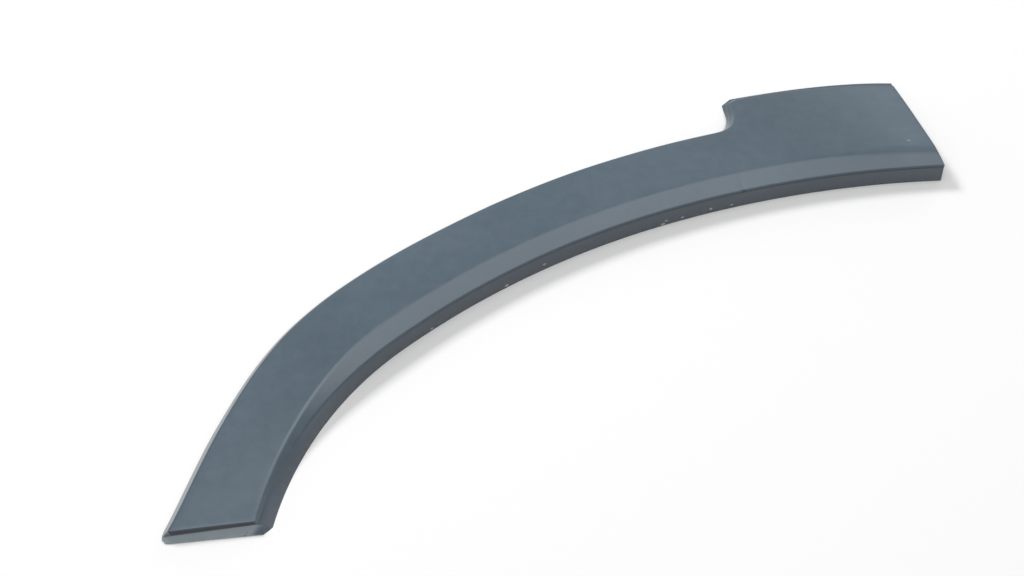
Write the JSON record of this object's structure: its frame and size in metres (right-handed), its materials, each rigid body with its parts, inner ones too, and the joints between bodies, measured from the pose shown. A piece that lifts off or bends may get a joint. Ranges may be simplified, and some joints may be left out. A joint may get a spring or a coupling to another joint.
{
  "type": "wheel arch repair panel",
  "caption": "Pressed steel repair panel for a car's wheel arch: a curved band with a return flange, a soft crease, a turned-down rim, a joggled sill end and a wide tab behind a notch.",
  "frame": {"origin": "middle of the panel's plan box, on the plane of the flange's level foot", "axes": "+X runs along the chord of the arch from the sill end to the cut end, +Y points away from the wheel opening over the arch, +Z points out of the painted face, away from the car"},
  "size_m": [0.4962, 0.3634, 0.0188],
  "materials": {
    "primed_steel": "blue-grey transit primer with a soft sheen, bare bright specks where it has chipped from the foot of the flange"
  },
  "bodies": {
    "root": {"wheel_arch_panel": "primed_steel"}
  },
  "joints": []
}
